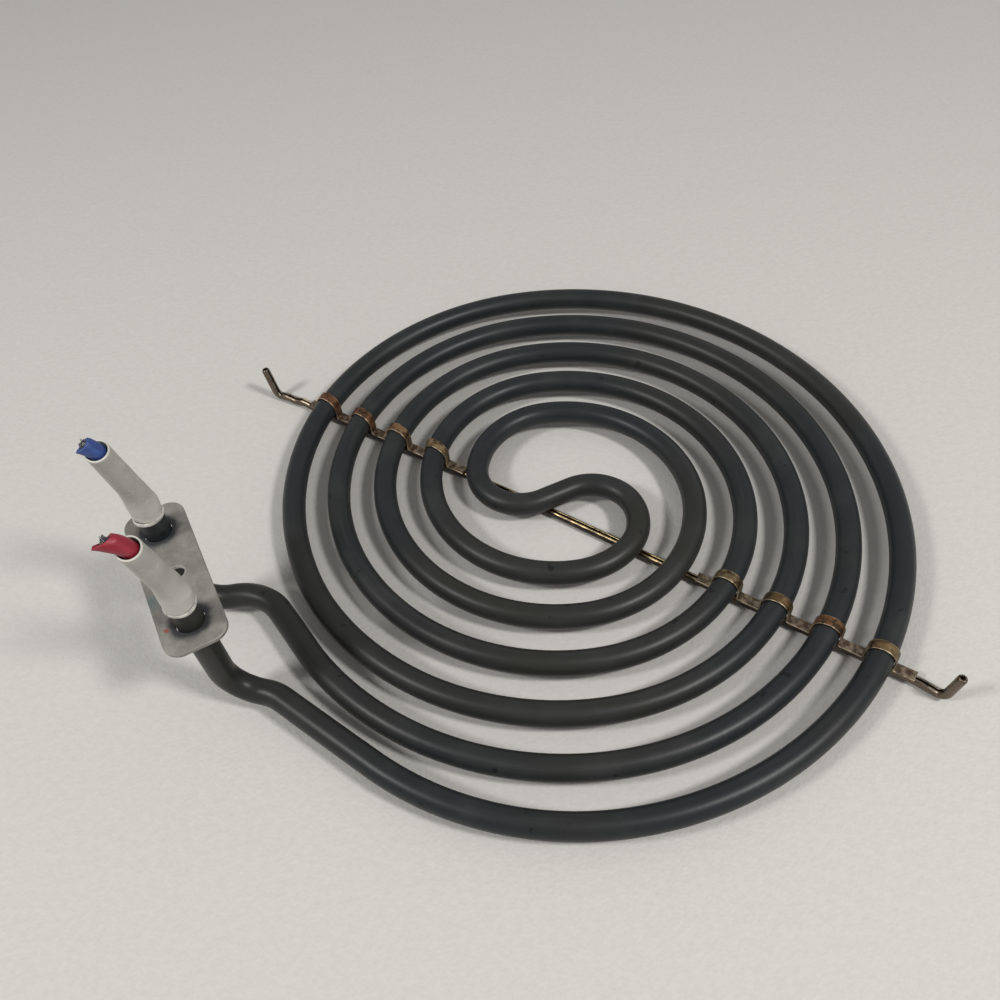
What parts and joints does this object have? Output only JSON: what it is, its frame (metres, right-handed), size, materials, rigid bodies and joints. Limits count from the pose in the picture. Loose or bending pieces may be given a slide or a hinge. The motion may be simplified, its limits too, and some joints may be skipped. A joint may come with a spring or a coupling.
{
  "type": "tubular heating element",
  "caption": "Sheathed heating tube wound as a flat double spiral with an S bend in the middle, on a strapped support bar, with two legs through a flange plate and sleeved leads.",
  "frame": {"origin": "centre of the fixing hole in the flange plate, at the plate's upper face, on the side of the leads", "axes": "+Z along the fixing hole and the legs, from the coil towards the leads; the coil's plane is square to Z and its half turns meet on a line along Y; the coil lies towards +X of the legs"},
  "size_m": [0.2474, 0.2278, 0.0945],
  "materials": {
    "sheath": "dark oxidised, semi-matt",
    "magnesia": "compacted white powder, matt",
    "resistance_alloy": "drawn, dull",
    "pin_steel": "nickel-plated, satin",
    "seal": "moulded silicone, matt",
    "crimp_brass": "tinned, satin",
    "insulation_blue": "extruded silicone, satin",
    "insulation_red": "extruded silicone, satin",
    "strands": "stranded, tinned",
    "sleeving": "translucent silicone, satin",
    "sealant": "cured paste, matt",
    "plate_steel": "mill finish, mottled",
    "bar_steel": "heat-tinted gold, bright",
    "strap_steel": "heat-tinted gold to copper, bright"
  },
  "bodies": {
    "root": {"sheath_tube": "sheath", "magnesia_fill": "magnesia", "resistance_coil": "resistance_alloy", "flange_plate": "plate_steel", "support_bar": "bar_steel", "strap_left": "strap_steel", "strap_right": "strap_steel", "terminal_pin_blue": "pin_steel", "end_seal_blue": "seal", "crimp_blue": "crimp_brass", "wire_insulation_blue": "insulation_blue", "wire_strands_blue": "strands", "sleeve_blue": "sleeving", "sealant_bead_blue": "sealant", "terminal_pin_red": "pin_steel", "end_seal_red": "seal", "crimp_red": "crimp_brass", "wire_insulation_red": "insulation_red", "wire_strands_red": "strands", "sleeve_red": "sleeving", "sealant_bead_red": "sealant"}
  },
  "joints": []
}
